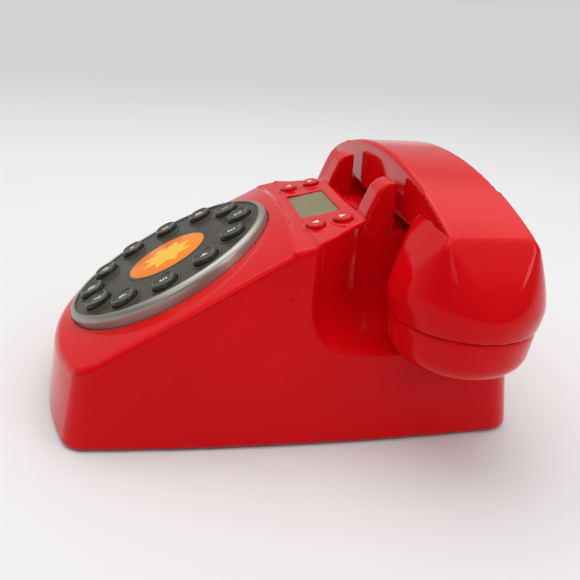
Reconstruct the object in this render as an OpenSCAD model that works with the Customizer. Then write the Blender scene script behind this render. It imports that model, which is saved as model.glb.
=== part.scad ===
// Novelty desk telephone: a wedge-shaped red base with a round key dial, a
// sloping caller display, four cradle horns and an arched handset.
// +X is the user's right, +Y runs away from the user, +Z is up.
// The origin is on the table, under the middle of the telephone.

/* [Base housing] */
// Length of the base along its rim, front to rear
base_len = 227.5; // [224:0.5:232]
// Widest half-width of the base at its rim
base_half_w = 79.8; // [78:0.2:82]
// Height of the housing's rim above the table
rim_z = 1.5; // [1.5:0.1:2]
// Wall thickness of the housing
wall = 2.5; // [2.2:0.1:2.8]
// Inward lean of the side and front walls, per millimetre of height
wall_lean = 0.15; // [0.13:0.01:0.16]
// Inward lean of the rear wall, per millimetre of height
rear_lean = 0.10; // [0.08:0.01:0.11]
// Radius of the curved front at the dial face, seen from above
front_radius = 147; // [140:1:160]
// Radius of the curved front at the rim, seen from above
front_rim_radius = 175; // [165:1:180]
// Height of the decks that the handset cups hang over
deck_z = 43.5; // [42:0.5:44]
// Half-width of the block that carries the handset
cradle_half_w = 45.5; // [45:0.1:46]
// Height of the cradle floor
cradle_z = 92; // [91.5:0.1:92.4]
// Height of the horns' tops
horn_top_z = 115; // [112:0.5:116]
rear_horn_top_z = 104; // [102:0.5:108]

/* [Dial] */
// Slope of the dial face, in degrees
dial_slope = 28.6; // [28:0.1:29]
// Position of the dial's centre along Y
dial_y = -52; // [-53:0.5:-51]
// Height of the dial's centre
dial_z = 62.4; // [62:0.1:63]
// Radius of the dark dial disc
disc_r = 52.6; // [52:0.1:53]
// Outer radius of the silver ring
ring_r = 55.9; // [55.5:0.1:56]
// Radius of the circle on which the key centres lie
key_circle_r = 42.3; // [41.5:0.1:43]
// Length of a dial key across the telephone
key_w = 15; // [14:0.5:15.5]
// Length of a dial key along the slope
key_h = 12.4; // [11.5:0.1:12.8]
// Travel of a dial key

/* [Display] */
// Slope of the display face, in degrees
display_slope = 14.6; // [14:0.1:15]
// Width of the display window
window_w = 43.6; // [42:0.2:46]
// Length of the display window along the slope
window_h = 19.2; // [18:0.2:20]
// Travel of a function button

/* [Handset] */
// Position of the handset's middle along Y
handset_y = 72.2; // [72:0.1:72.5]
// Half-width of the handle, along Y
handle_half_w = 18; // [17:0.5:18.5]
// Height of the handle's arched top
handset_top_z = 122.9; // [122:0.1:124]
// Sideways tilt with which the handset rests, in degrees
handset_tilt = 1.1; // [0:0.1:1.5]
// Radius of the arch
arch_r = 275; // [265:1:290]
// Distance of each cup's axis from the middle
cup_x = 81.5; // [81:0.1:82]
// Largest radius of a cup
cup_r = 33; // [32:0.1:33]
// Height of the seam between a cup and its cap
seam_z = 66.5; // [65:0.5:68]

/* [Hidden] */
$fn = 72;
LOOK_RED = [0.78, 0.07, 0.07];
LOOK_CHARCOAL = [0.25, 0.24, 0.19];
LOOK_SILVER = [0.62, 0.61, 0.57];
LOOK_BLACK = [0.07, 0.07, 0.07];
LOOK_GREEN = [0.05, 0.35, 0.2];
LOOK_STEEL = [0.7, 0.7, 0.72];

KEY_NAMES = [
    "key_1", "key_2", "key_3", "key_4", "key_5", "key_6",
    "key_7", "key_8", "key_9", "key_star", "key_0", "key_hash"
];
BUTTON_NAMES = ["button_up", "button_down", "button_redial", "button_erase"];
FOOT_NAMES = ["foot_front_left", "foot_front_right", "foot_rear_left", "foot_rear_right"];

base_half_l = base_len / 2;
side_bow_r = 1200;
front_corner_r = 8;
rear_corner_r = 14;
brow_z = 30;
block_top_z = 130;
// The display face starts where the dial face ends
crease_y = 0.9;
crease_z = 88.7;
crease_bow_y = 5.1;
crease_bow_r = 530;
display_end_y = 37.1;
// The dial face is a shallow cone, so its crown is tighter at the front
crown_half_angle = 71.2;
crown_apex = -206;
recess_side_x = 67.5;
recess_side_y = 8;
recess_fillet = 24;
pocket_floor = -7.5;
pocket_r = ring_r + 0.2;
disc_top = 3.5;
disc_t = 2.5;
ring_top = 4.3;
key_top = 6.6;
key_flange = 0.9;
key_flange_t = 1.5;
gap = 0.35;
board_t = 1.6;
mat_t = 1.2;
mat_dome_h = 1.8;
button_x = 38.5;
button_rows = [14.6, 27.8];
button_w = 12.4;
button_h = 8.4;
button_top = 2.2;
window_mid = 20.4;
horn_w = 15.5;
horn_rear_y = 50;
post_front = [57, -66];
post_rear = [59, 82];
plunger_x = 16;
plunger_r = 4;
handle_low_z = 94.8;
cap_low_z = 45.5;
cap_r = 31;
neck_r = 27.6;
handset_wall = 2.4;
end_crease_x = 98;
foot_xy = [[-56, -86], [56, -86], [-58, 100], [58, 100]];
plate_t = 2.5;
plate_z = rim_z;
cell_r = 7.1;
cell_len = 50;
cell_pitch = 15.2;
door_t = 1.1;
handset_jack_y = 64;
bay_y = 20;

function arc_points(centre, r, from, to, steps) = [
    for (i = [0 : steps])
        let (a = from + (to - from) * i / steps)
        [centre[0] + r * cos(a), centre[1] + r * sin(a)]
];

// ---- Frames ----
module dial_frame() {
    translate([0, dial_y, dial_z]) rotate([dial_slope, 0, 0]) children();
}

module display_frame() {
    translate([0, crease_y, crease_z]) rotate([display_slope, 0, 0]) children();
}

// The handset rests with its left end a little higher than its right
module handset_frame() {
    translate([cup_x, handset_y, seam_z]) rotate([0, handset_tilt, 0])
        translate([-cup_x, 0, -seam_z]) children();
}

module mirrored_x() {
    children();
    mirror([1, 0, 0]) children();
}

// Oval plug: a round one flattened by two wider rounds
module oval(w, h, t) {
    intersection() {
        cylinder(h = t, r = w / 2);
        translate([0, 0.8 * w - h / 2, 0]) cylinder(h = t, r = 0.8 * w);
        translate([0, h / 2 - 0.8 * w, 0]) cylinder(h = t, r = 0.8 * w);
    }
}

// ---- Shared shapes of the housing ----
// Outline of the base, moved in by side, front and rear
module sharp_outline(side, front, rear, curve_r) {
    intersection() {
        translate([0, front - base_half_l + curve_r]) circle(curve_r, $fn = 180);
        translate([base_half_w - side - side_bow_r, 0]) circle(side_bow_r, $fn = 360);
        translate([side_bow_r - base_half_w + side, 0]) circle(side_bow_r, $fn = 360);
        translate([-base_half_w, -base_len])
            square([2 * base_half_w, base_len + base_half_l - rear]);
    }
}

module rounded(r) {
    offset(r = r) offset(delta = -r) children();
}

module outline(side, front, rear, curve_r) {
    intersection() {
        rounded(front_corner_r) sharp_outline(side, front, rear, curve_r);
        translate([-100, -150]) square([200, 190]);
    }
    intersection() {
        rounded(rear_corner_r) sharp_outline(side, front, rear, curve_r);
        translate([-100, -40]) square([200, 190]);
    }
}

// One thin slice of the leaning walls at height z, moved in by t
module wall_slice(z, t, curve_r) {
    side = t + (z - rim_z) * wall_lean;
    rear = t + (z - rim_z) * rear_lean;
    translate([0, 0, z]) linear_extrude(0.01) outline(side, side, rear, curve_r);
}

// Outside of the leaning walls; the front flattens towards the rim
module leaning_block() {
    hull() {
        wall_slice(rim_z, 0, front_rim_radius);
        wall_slice(brow_z, 0, front_radius);
    }
    hull() {
        wall_slice(brow_z, 0, front_radius);
        wall_slice(block_top_z, 0, front_radius);
    }
}

// Space inside the leaning walls
module leaning_cavity() {
    hull() {
        wall_slice(rim_z, wall, front_radius);
        wall_slice(block_top_z, wall, front_radius);
    }
}

// Everything under the crowned dial face, moved down by t
module under_dial(t) {
    intersection() {
        dial_frame()
            translate([0, crown_apex, -t]) rotate([90 - crown_half_angle + 180, 0, 0])
            cylinder(h = 400, r1 = 0, r2 = 400 * tan(crown_half_angle), $fn = 360);
        translate([0, crease_bow_y - crease_bow_r - t, rim_z])
            cylinder(h = block_top_z, r = crease_bow_r, $fn = 720);
    }
}

// Everything under the display face, moved down by t
module under_display(t) {
    intersection() {
        display_frame() translate([-100, -60, -150 - t]) cube([200, 160, 150]);
        translate([-100, crease_y - 0.3 - t, rim_z]) cube([200, display_end_y - crease_y + 0.3, 120]);
    }
}

// Everything under the cradle floor, moved down by t
module under_cradle(t) {
    translate([-100, crease_y + 10, rim_z]) cube([200, 120, cradle_z - rim_z - t]);
    translate([-100, -20, rim_z]) cube([200, 60, 70 - rim_z - t]);
}

// Plan of the hollow that a handset cup hangs in
module recess_plan(grow) {
    offset(delta = grow) polygon([
        [cradle_half_w, display_end_y], [recess_side_x, recess_side_y],
        [140, recess_side_y], [140, 150], [cradle_half_w, 150]
    ]);
}

// Hollow that a handset cup hangs in, with a filleted foot
module recess(t) {
    hull() {
        for (step = [0, 30, 60, 90])
            translate([0, 0, deck_z - t + recess_fillet * (1 - cos(step))])
                linear_extrude(0.01) recess_plan(t - recess_fillet * (1 - sin(step)));
        translate([0, 0, block_top_z]) linear_extrude(1) recess_plan(t);
    }
}

// Form of the base inside the given walls, with its top moved down by t
module base_form(t) {
    difference() {
        intersection() {
            children();
            union() {
                under_dial(t);
                under_display(t);
                under_cradle(t);
            }
        }
        mirrored_x() recess(t);
    }
}

// Side profile of a front horn
module horn_profile() {
    top_r = 5;
    polygon(concat(
        [[display_end_y - 0.7, cradle_z - 1], [display_end_y - 0.7, 99.3]],
        arc_points([46.3, horn_top_z - top_r], top_r, 158, 90, 6),
        arc_points([horn_rear_y - 2, horn_top_z - 2], 2, 90, 0, 4),
        [[horn_rear_y, cradle_z - 1]]
    ));
}

// Side profile of a rear horn
module rear_horn_profile() {
    face_y = 2 * handset_y - horn_rear_y;
    rear_low = base_half_l - (cradle_z - rim_z) * rear_lean;
    rear_high = base_half_l - (rear_horn_top_z - rim_z) * rear_lean;
    polygon(concat(
        [[face_y, cradle_z - 1]],
        arc_points([face_y + 2, rear_horn_top_z - 2], 2, 180, 90, 4),
        arc_points([rear_high - 2.6, rear_horn_top_z - 2.6], 2.6, 90, 0, 4),
        [[rear_low - 0.05, cradle_z - 1]]
    ));
}

module extrude_across(width) {
    rotate([90, 0, 90]) linear_extrude(width) children();
}

module horns() {
    mirrored_x() translate([cradle_half_w - horn_w, 0, 0]) {
        extrude_across(horn_w) horn_profile();
        extrude_across(horn_w) rear_horn_profile();
    }
}

module at_posts() {
    for (s = [-1, 1], p = [post_front, post_rear])
        translate([s * p[0], p[1], 0]) children();
}

// ---- Base ----
module housing_top() {
    color(LOOK_RED)
    difference() {
        union() {
            difference() {
                base_form(0) leaning_block();
                difference() {
                    base_form(wall) leaning_cavity();
                    dial_frame() translate([0, 0, pocket_floor - wall])
                        cylinder(h = 40, r = pocket_r + wall);
                    at_posts() cylinder(h = 60, r = 4);
                }
            }
            horns();
        }
        // Dial pocket, and the opening behind the keys
        dial_frame() translate([0, 0, pocket_floor]) cylinder(h = 40, r = pocket_r);
        dial_frame() translate([0, 0, -20]) cylinder(h = 20, r = 46);
        // Space under the lower end of the screw posts
        at_posts() cylinder(h = plate_z + plate_t, r = 4.2);
        at_posts() cylinder(h = 24, r = 1.45);
        // Display window and function buttons
        display_frame() translate([0, window_mid, -10])
            linear_extrude(20) square([window_w + 0.4, window_h + 0.4], center = true);
        display_frame() for (s = [-1, 1], v = button_rows)
            translate([s * button_x, v, -10]) oval(button_w + 2 * gap, button_h + 2 * gap, 20);
        // Hook plungers
        for (s = [-1, 1]) translate([s * plunger_x, handset_y, cradle_z - 10])
            cylinder(h = 20, r = plunger_r + gap);
        // Line jack and ringer switch at the rear, handset jack on the left
        translate([-26, base_half_l - 20, 9]) cube([12, 30, 11]);
        translate([14, base_half_l - 20, 12]) cube([14, 30, 4.6]);
        translate([-base_half_w - 5, handset_jack_y - 6, 9]) cube([20, 12, 11]);
    }
}

module base_plate() {
    inset = wall + 2 * gap;
    color([0.6, 0.06, 0.06])
    difference() {
        union() {
            translate([0, 0, plate_z]) linear_extrude(plate_t)
                outline(inset, inset, inset, front_radius);
            // Battery bay walls
            translate([-cell_len / 2 - 4, bay_y - 34, plate_z + plate_t])
                cube([cell_len + 8, 66, 17]);
            // Stand-offs for the main board and the ballast
            for (x = [-34, 34], y = [60, 90])
                translate([x, y, plate_z + plate_t]) cylinder(h = 12, r = 3);
        }
        // Battery bay, open below for the door
        translate([-cell_len / 2 - 2, bay_y - 32, plate_z + plate_t])
            cube([cell_len + 4, 62, 15]);
        translate([-cell_len / 2 - 2, bay_y - 32, -1]) cube([cell_len + 4, 62, 8]);
        translate([-cell_len / 2 - 4, bay_y - 34, -1]) cube([cell_len + 8, 66, plate_z + door_t + gap + 1]);
        // Foot pockets, screw holes and sound slots
        for (p = foot_xy) translate([p[0], p[1], -1]) cylinder(h = 3.6, r = 7.2);
        at_posts() translate([0, 0, -1]) cylinder(h = 10, r = 1.8);
        at_posts() translate([0, 0, -1]) cylinder(h = 3.6, r = 3.3);
        for (i = [-3 : 3]) translate([44, i * 5 - 46, -1])
            linear_extrude(10) square([22, 2], center = true);
    }
}

module battery_door() {
    color([0.6, 0.06, 0.06])
    difference() {
        translate([-cell_len / 2 - 3.6, bay_y - 33.6, plate_z])
            cube([cell_len + 7.2, 65.2, door_t]);
        // Finger notch
        translate([0, bay_y + 29, plate_z - 1]) cylinder(h = 4, r = 4);
    }
}

module battery_cells() {
    color([0.2, 0.25, 0.5])
    for (i = [-1.5 : 1.5])
        translate([-cell_len / 2 + 0.6, bay_y - 1 + i * cell_pitch, plate_z + door_t + cell_r + 0.1])
            rotate([0, 90, 0]) {
                cylinder(h = cell_len - 1.8, r = cell_r);
                translate([0, 0, cell_len - 1.8]) cylinder(h = 1, r = 2.7);
            }
}

module ballast_plate() {
    color(LOOK_STEEL)
    translate([-30, -76, plate_z + plate_t]) cube([56, 50, 5]);
}

module housing_screws() {
    color(LOOK_STEEL)
    at_posts() {
        translate([0, 0, 2.6]) cylinder(h = 16, r = 1.4);
        difference() {
            translate([0, 0, 1.2]) cylinder(h = 1.4, r = 3);
            for (a = [0, 90]) rotate([0, 0, a])
                translate([-2, -0.35, 0]) cube([4, 0.7, 1.8]);
        }
    }
}

module foot(index) {
    color([0.12, 0.12, 0.12])
    translate([foot_xy[index][0], foot_xy[index][1], 0])
        rotate_extrude() polygon([
            [0, 0], [5.8, 0], [6.8, 0.9], [7, 2.6], [0, 2.6]
        ]);
}

// ---- Dial ----
module dial_disc() {
    color(LOOK_CHARCOAL)
    dial_frame() difference() {
        translate([0, 0, disc_top - disc_t]) cylinder(h = disc_t, r = disc_r);
        for (i = [0 : 11]) rotate([0, 0, i * 30])
            translate([0, key_circle_r, 0]) rotate([0, 0, -i * 30])
            oval(key_w + 2 * gap, key_h + 2 * gap, 10);
        translate([0, 0, disc_top - 0.5]) cylinder(h = 2, r = 23.2);
    }
}

module dial_ring() {
    inner_r = disc_r + 0.1;
    ledge_r = 51.4;
    ledge_z = disc_top - disc_t;
    color(LOOK_SILVER)
    dial_frame() rotate_extrude($fn = 180) polygon(concat(
        [[ledge_r, pocket_floor], [ring_r, pocket_floor]],
        arc_points([ring_r - 2.4, 0.6], 2.4, 0, 40, 4),
        arc_points([inner_r + 0.7, ring_top - 0.7], 0.7, 50, 180, 4),
        [[inner_r, ledge_z], [ledge_r, ledge_z]]
    ));
}

module dial_label() {
    color([0.95, 0.5, 0.05])
    dial_frame() translate([0, 0, disc_top - 0.5]) cylinder(h = 0.6, r = 23);
}

module dial_key(index) {
    // Key 1 sits left of the top; the numbers then run clockwise
    turn = 30 * (1 - index);
    flange_top = disc_top - disc_t - 0.2;
    color(LOOK_BLACK)
    dial_frame() rotate([0, 0, turn]) translate([0, key_circle_r, 0]) rotate([0, 0, -turn]) {
        translate([0, 0, flange_top]) oval(key_w, key_h, key_top - flange_top - 0.8);
        translate([0, 0, key_top - 0.8]) oval(key_w - 1.2, key_h - 1.2, 0.8);
        translate([0, 0, flange_top - key_flange_t])
            oval(key_w + 2 * key_flange, key_h + 2 * key_flange, key_flange_t);
    }
}

module key_mat() {
    color([0.75, 0.75, 0.72])
    dial_frame() translate([0, 0, pocket_floor + board_t]) {
        cylinder(h = mat_t, r = 50);
        for (i = [0 : 11]) rotate([0, 0, i * 30]) translate([0, key_circle_r, mat_t])
            cylinder(h = mat_dome_h, r1 = 4.5, r2 = 3);
    }
}

module keypad_board() {
    color(LOOK_GREEN)
    dial_frame() translate([0, 0, pocket_floor]) cylinder(h = board_t, r = 50);
}

// ---- Display ----
module display_window() {
    color([0.55, 0.52, 0.38])
    display_frame() translate([-window_w / 2, window_mid - window_h / 2, -wall - 0.2])
        cube([window_w, window_h, wall - 0.4]);
}

module display_module() {
    color([0.45, 0.47, 0.36])
    display_frame() translate([-window_w / 2 - 3, window_mid - window_h / 2 - 1.5, -wall - 4.6])
        cube([window_w + 6, window_h + 3, 4.4]);
}

module function_button(index) {
    s = index % 2 == 0 ? -1 : 1;
    v = button_rows[index < 2 ? 1 : 0];
    color(LOOK_RED)
    display_frame() translate([s * button_x, v, 0]) {
        translate([0, 0, -wall - 0.3]) oval(button_w, button_h, wall + button_top - 0.4);
        translate([0, 0, button_top - 0.7]) oval(button_w - 1, button_h - 1, 0.7);
        translate([0, 0, -wall - 1.5]) oval(button_w + 1.6, button_h + 1.6, 1.2);
    }
}

module button_mat() {
    color([0.75, 0.75, 0.72])
    display_frame() translate([0, 0, -wall - 4.6]) mirrored_x() {
        translate([button_x - 6.5, 9, 0]) cube([11, 22.5, 1]);
        for (v = button_rows) translate([button_x, v, 1]) cylinder(h = 0.8, r1 = 3.4, r2 = 2.6);
    }
}

module display_board() {
    color(LOOK_GREEN)
    display_frame() translate([-43, 6, -wall - 6.2]) cube([86, 25.5, board_t]);
}

// ---- Electronics and hook ----
module main_board() {
    color(LOOK_GREEN)
    translate([-40, 54, plate_z + plate_t + 12]) cube([80, 41, board_t]);
}

module hook_plunger(side) {
    low_z = cradle_z - wall - 8.4;
    color(LOOK_RED)
    translate([side * plunger_x, handset_y, low_z]) {
        cylinder(h = handle_low_z + 0.4 - low_z, r = plunger_r);
        cylinder(h = 2, r = plunger_r + 2);
    }
}

module hook_switch() {
    color(LOOK_BLACK)
    translate([0, handset_y, 0]) difference() {
        translate([-25, -7, cradle_z - wall - 22]) cube([50, 14, 12]);
        translate([-22, -5, cradle_z - wall - 20]) cube([44, 10, 20]);
    }
}

module ringer_speaker() {
    color([0.2, 0.2, 0.2])
    translate([44, -46, plate_z + plate_t]) {
        rotate_extrude() polygon([[0, 3], [8, 1], [17, 0.2], [17, 4], [9, 8], [9, 13], [0, 13]]);
    }
}

module ringer_switch() {
    color(LOOK_BLACK)
    translate([16, base_half_l - 8, 12.6]) {
        cube([5, 7.9, 3.4]);
        translate([-1, 0, -1]) cube([7, 2.5, 5.4]);
    }
}

// Four-way telephone socket; its mouth faces -Y
module jack_body() {
    difference() {
        translate([-5.6, 0, 0]) cube([11.2, 14, 10.2]);
        translate([-4.4, -1, 1.8]) cube([8.8, 11, 6.6]);
    }
}

module line_jack() {
    color([0.85, 0.84, 0.8])
    translate([-20, base_half_l - 2.2, 9.4]) rotate([0, 0, 180]) jack_body();
}

module handset_jack() {
    color([0.85, 0.84, 0.8])
    translate([-base_half_w + 5, handset_jack_y, 9.4]) rotate([0, 0, -90]) jack_body();
}

// ---- Handset ----
// Side profile of the arched handle, moved in by t
module arch_profile(t) {
    r = arch_r - t;
    centre = [0, handset_top_z - arch_r];
    half = asin((end_crease_x - t) / r);
    polygon(concat(
        arc_points(centre, r, 90 - half, 90 + half, 24),
        [[-60, handle_low_z + t], [60, handle_low_z + t]]
    ));
}

// One cup, from its widest ring up to the end of the arch, moved in by t
module cup_form(t) {
    shoulder_z = 84;
    crease_z_at_end = handset_top_z - arch_r + sqrt(pow(arch_r, 2) - pow(end_crease_x, 2));
    hull() {
        translate([62, -handle_half_w + t, crease_z_at_end - 1 - t])
            cube([end_crease_x - 62 - t, 2 * (handle_half_w - t), 1]);
        translate([cup_x, 0, shoulder_z - 3]) cylinder(h = 3, r = cup_r - t);
    }
    translate([cup_x, 0, seam_z]) cylinder(h = shoulder_z - seam_z - 3, r1 = cap_r - t, r2 = cup_r - t);
}

module handset_form(t) {
    translate([0, handle_half_w - t, 0]) rotate([90, 0, 0])
        linear_extrude(2 * (handle_half_w - t)) arch_profile(t);
    mirrored_x() cup_form(t);
}

module at_handset_screws() {
    for (s = [-1, 1]) translate([s * 38, 0, handle_low_z]) children();
}

module handset_shell() {
    color(LOOK_RED)
    handset_frame() difference() {
        handset_form(0);
        difference() {
            handset_form(handset_wall);
            at_handset_screws() cylinder(h = 40, r = 3.5);
        }
        // The cups are open below for the caps' necks
        for (s = [-1, 1]) translate([s * cup_x, 0, seam_z - 1])
            cylinder(h = 12, r = neck_r + 0.1);
        // Seat of the cover under the handle, and its screw bores
        translate([-46.4, -14.4, handle_low_z - 1]) cube([92.8, 28.8, 3.4]);
        at_handset_screws() cylinder(h = 14, r = 1.45);
        // Cord socket at the left end
        translate([-120, -5.7, 75]) cube([16, 11.4, 10.6]);
    }
}

module handset_cover() {
    color(LOOK_RED)
    handset_frame() difference() {
        translate([-46.2, -14.2, handle_low_z]) cube([92.4, 28.4, 2.3]);
        at_handset_screws() translate([0, 0, -1]) {
            cylinder(h = 10, r = 1.8);
            cylinder(h = 2.2, r = 3.2);
        }
    }
}

// Round cap with a neck that enters its cup
module cup_cap() {
    cap_h = seam_z - cap_low_z;
    bowl_r = neck_r - 2.4;
    difference() {
        rotate_extrude($fn = 96) polygon(concat(
            [[0, 0]],
            arc_points([14, 9], 9, -90, -52, 4),
            arc_points([20.5, 14.5], 9.6, -40, 0, 4),
            [[cap_r, cap_h - 0.2], [neck_r, cap_h - 0.2],
             [neck_r, cap_h + 8], [0, cap_h + 8]]
        ));
        translate([0, 0, 12]) cylinder(h = 40, r = bowl_r);
        translate([0, 0, 2.4]) cylinder(h = 12, r1 = 15, r2 = bowl_r);
    }
}

module earpiece_cap() {
    color(LOOK_RED)
    handset_frame() translate([-cup_x, 0, cap_low_z]) difference() {
        cup_cap();
        translate([0, 0, -1]) cylinder(h = 5, r = 1.1);
        for (i = [0 : 5]) rotate([0, 0, i * 60]) translate([6.5, 0, -1])
            cylinder(h = 5, r = 1.1);
    }
}

module mouthpiece_cap() {
    color(LOOK_RED)
    handset_frame() translate([cup_x, 0, cap_low_z]) difference() {
        cup_cap();
        for (i = [-1 : 1]) translate([0, i * 5, -1]) cylinder(h = 5, r = 1.1);
    }
}

module receiver_capsule() {
    color([0.3, 0.3, 0.3])
    handset_frame() translate([-cup_x, 0, cap_low_z + 12]) {
        cylinder(h = 3, r = 24.8);
        translate([0, 0, 3]) cylinder(h = 9, r = 15);
    }
}

module microphone_capsule() {
    color([0.3, 0.3, 0.3])
    handset_frame() translate([cup_x, 0, cap_low_z + 2.4]) {
        cylinder(h = 7, r = 5);
        translate([0, 0, 7]) cylinder(h = 2, r = 12);
    }
}

module handset_weight() {
    color(LOOK_STEEL)
    handset_frame() translate([-20, -10, handle_low_z + 2.4]) cube([40, 20, 6]);
}

module handset_socket() {
    color([0.85, 0.84, 0.8])
    handset_frame() translate([-112.2, 0, 75.2]) rotate([0, 0, -90]) jack_body();
}

module handset_screws() {
    color(LOOK_STEEL)
    handset_frame() at_handset_screws() {
        translate([0, 0, 0.1]) cylinder(h = 1.1, r = 2.9);
        translate([0, 0, 1.2]) cylinder(h = 11, r = 1.4);
    }
}

housing_top();
base_plate();
battery_door();
battery_cells();
ballast_plate();
housing_screws();
dial_disc();
dial_ring();
dial_label();
key_mat();
keypad_board();
display_window();
display_module();
button_mat();
display_board();
main_board();
hook_plunger(-1);  // hook_plunger_left
hook_plunger(1);  // hook_plunger_right
hook_switch();
ringer_speaker();
ringer_switch();
line_jack();
handset_jack();
handset_shell();
handset_cover();
earpiece_cap();
mouthpiece_cap();
receiver_capsule();
microphone_capsule();
handset_weight();
handset_socket();
handset_screws();
for (i = [0 : 3]) foot(i);
for (i = [0 : 11]) dial_key(i);
for (i = [0 : 3]) function_button(i);
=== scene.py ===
"""Looks of the novelty desk telephone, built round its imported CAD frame.

Large glossy mouldings are made as smooth surfaces from distance fields, so that their
fillets reflect cleanly; the small parts are lofted and turned meshes.
"""
import math

import bmesh
import bpy
import numpy as np
from mathutils import Matrix, Vector


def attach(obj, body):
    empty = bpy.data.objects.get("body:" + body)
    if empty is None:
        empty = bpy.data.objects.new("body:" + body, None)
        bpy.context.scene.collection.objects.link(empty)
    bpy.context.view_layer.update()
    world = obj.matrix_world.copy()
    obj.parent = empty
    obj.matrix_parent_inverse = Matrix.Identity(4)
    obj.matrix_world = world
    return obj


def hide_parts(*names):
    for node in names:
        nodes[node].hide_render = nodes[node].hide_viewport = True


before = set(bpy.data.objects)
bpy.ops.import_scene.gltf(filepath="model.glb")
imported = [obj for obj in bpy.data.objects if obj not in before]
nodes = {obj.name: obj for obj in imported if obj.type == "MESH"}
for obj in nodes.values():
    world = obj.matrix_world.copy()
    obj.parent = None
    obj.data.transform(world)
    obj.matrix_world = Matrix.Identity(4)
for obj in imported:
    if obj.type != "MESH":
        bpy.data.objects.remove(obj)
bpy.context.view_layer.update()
scene = bpy.context.scene
MM = 0.001

# ---------------------------------------------------------------- dimensions, in millimetres
RIM_Z, BASE_HALF_L, BASE_HALF_W = 1.5, 113.75, 79.8
WALL_LEAN, REAR_LEAN, SIDE_BOW = 0.15, 0.10, 1200.0
DECK_Z, CRADLE_HALF_W, CRADLE_Z, HORN_TOP, REAR_HORN_TOP = 43.5, 45.5, 92.0, 115.0, 104.0
DIAL_Y, DIAL_Z, DIAL_TILT = -52.0, 62.4, math.radians(28.6)
CONE_APEX, CONE_HALF = -206.0, math.radians(71.2)
CREASE_Y, CREASE_Z, CREASE_BOW, CREASE_R = 0.9, 88.7, 5.1, 530.0
PANEL_TILT, PANEL_END = math.radians(14.6), 37.1
KEY_CIRCLE, KEY_W, KEY_H = 42.3, 15.0, 12.4
DISC_TOP, KEY_TOP, KEY_LOW = 3.5, 6.6, 0.8
BUTTON_X, BUTTON_ROWS, BUTTON_W, BUTTON_H, BUTTON_TOP = 38.5, (14.6, 27.8), 12.4, 8.4, 2.2
HAND_Y, HAND_TOP, HAND_HALF, HAND_LOW, ARCH_R = 72.2, 122.9, 18.0, 94.8, 275.0
CUP_X, CUP_R, SEAM_Z, CAP_LOW, CAP_R, NECK_R = 81.5, 33.0, 66.5, 45.5, 31.0, 27.6
HAND_TILT = math.radians(1.1)
FRONT_RIM_R, FRONT_R_CHANGE, BROW_RISE = 175, 28, 28.5
FRONT_CORNER_R, REAR_CORNER_R = 6.5, 14.0
RECESS_Y, RECESS_FLOOR_R, RECESS_SLANT = 8, 24.0, (0.7977, 0.6031)
HORN_W, HORN_FRONT_Y, HORN_REAR_Y, REAR_HORN_Y, HORN_ROOT_Z = 15.5, 36.4, 50, 94.4, 88
SHELL_WALL, POCKET_R, POCKET_FLOOR, POCKET_HOLE_R, TRAY_R = 3.0, 56.1, -7.5, 46, 58.6
POSTS, POST_R, POST_LOW = ((57, -66), (59, 82)), 4, 4.2
WINDOW_HALF_W, WINDOW_HALF_H, WINDOW_MID = 22.0, 9.8, 20.4
BUTTON_HOLE_W, BUTTON_HOLE_H = 6.55, 4.55
PLUNGER_X, PLUNGER_HOLE_R = 16, 4.35
SOCKET_HALF_W, SOCKET_HALF_H, SOCKET_Z, LINE_JACK_X, HANDSET_JACK_Y = 6, 5.5, 14.5, -20, 64
RINGER_X, RINGER_Z, RINGER_HALF_W, RINGER_HALF_H = 21, 14.3, 7, 2.3
BAR_END_X, CUP_WIDE_Z, CUP_TAPER, COVER_Z = 80, 76, 29.0, 97.2
LABEL_Z, LABEL_R, LABEL_THICK = DISC_TOP + 0.02, 21.35, 0.12
STAR_POINTS, STAR_OUTER, STAR_INNER = 8, 15.0, 9.2
PRINT_THICK, PRINT_BOLD = 0.06, 0.08
HOUSING_STEP, HANDSET_STEP = ((1.5, 1.25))
FLOOR_R, FLOOR_SIDES = 6.0, 96
LENS_MM, SENSOR_MM = 39.7924, 36
CAMERA_ANGLES, CAMERA_PLACE = (79.119, 21.079, 3.545), (320.04, -49.55, 171.1)
KEYS = [("key_1", "1"), ("key_2", "2"), ("key_3", "3"), ("key_4", "4"), ("key_5", "5"), ("key_6", "6"),
        ("key_7", "7"), ("key_8", "8"), ("key_9", "9"), ("key_star", "*"), ("key_0", "0"), ("key_hash", "#")]
BUTTONS = [("button_up", -1, 1), ("button_down", 1, 1), ("button_redial", -1, 0), ("button_erase", 1, 0)]


def linked(name, data):
    obj = bpy.data.objects.new(name, data)
    scene.collection.objects.link(obj)
    return obj


# ---------------------------------------------------------------- frames
def tilted(origin, angle):
    """Frame at origin (mm), turned about X by angle."""
    return Matrix.Translation(Vector(origin) * MM) @ Matrix.Rotation(angle, 4, "X")


DIAL_FRAME = tilted((0, DIAL_Y, DIAL_Z), DIAL_TILT)
PANEL_FRAME = tilted((0, CREASE_Y, CREASE_Z), PANEL_TILT)
HAND_FRAME = (Matrix.Translation(Vector((CUP_X, HAND_Y, SEAM_Z)) * MM)
              @ Matrix.Rotation(HAND_TILT, 4, "Y")
              @ Matrix.Translation(Vector((-CUP_X, 0, -SEAM_Z)) * MM))


# ---------------------------------------------------------------- materials
def new_material(name):
    material = bpy.data.materials.new(name)
    material.use_nodes = True
    tree = material.node_tree
    shader = tree.nodes["Principled BSDF"]
    return material, tree, shader


def noise(tree, scale, detail=4.0, rough=0.5):
    coords = tree.nodes.new("ShaderNodeTexCoord")
    tex = tree.nodes.new("ShaderNodeTexNoise")
    tex.inputs["Scale"].default_value = scale
    tex.inputs["Detail"].default_value = detail
    tex.inputs["Roughness"].default_value = rough
    tree.links.new(coords.outputs["Object"], tex.inputs["Vector"])
    return tex


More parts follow.
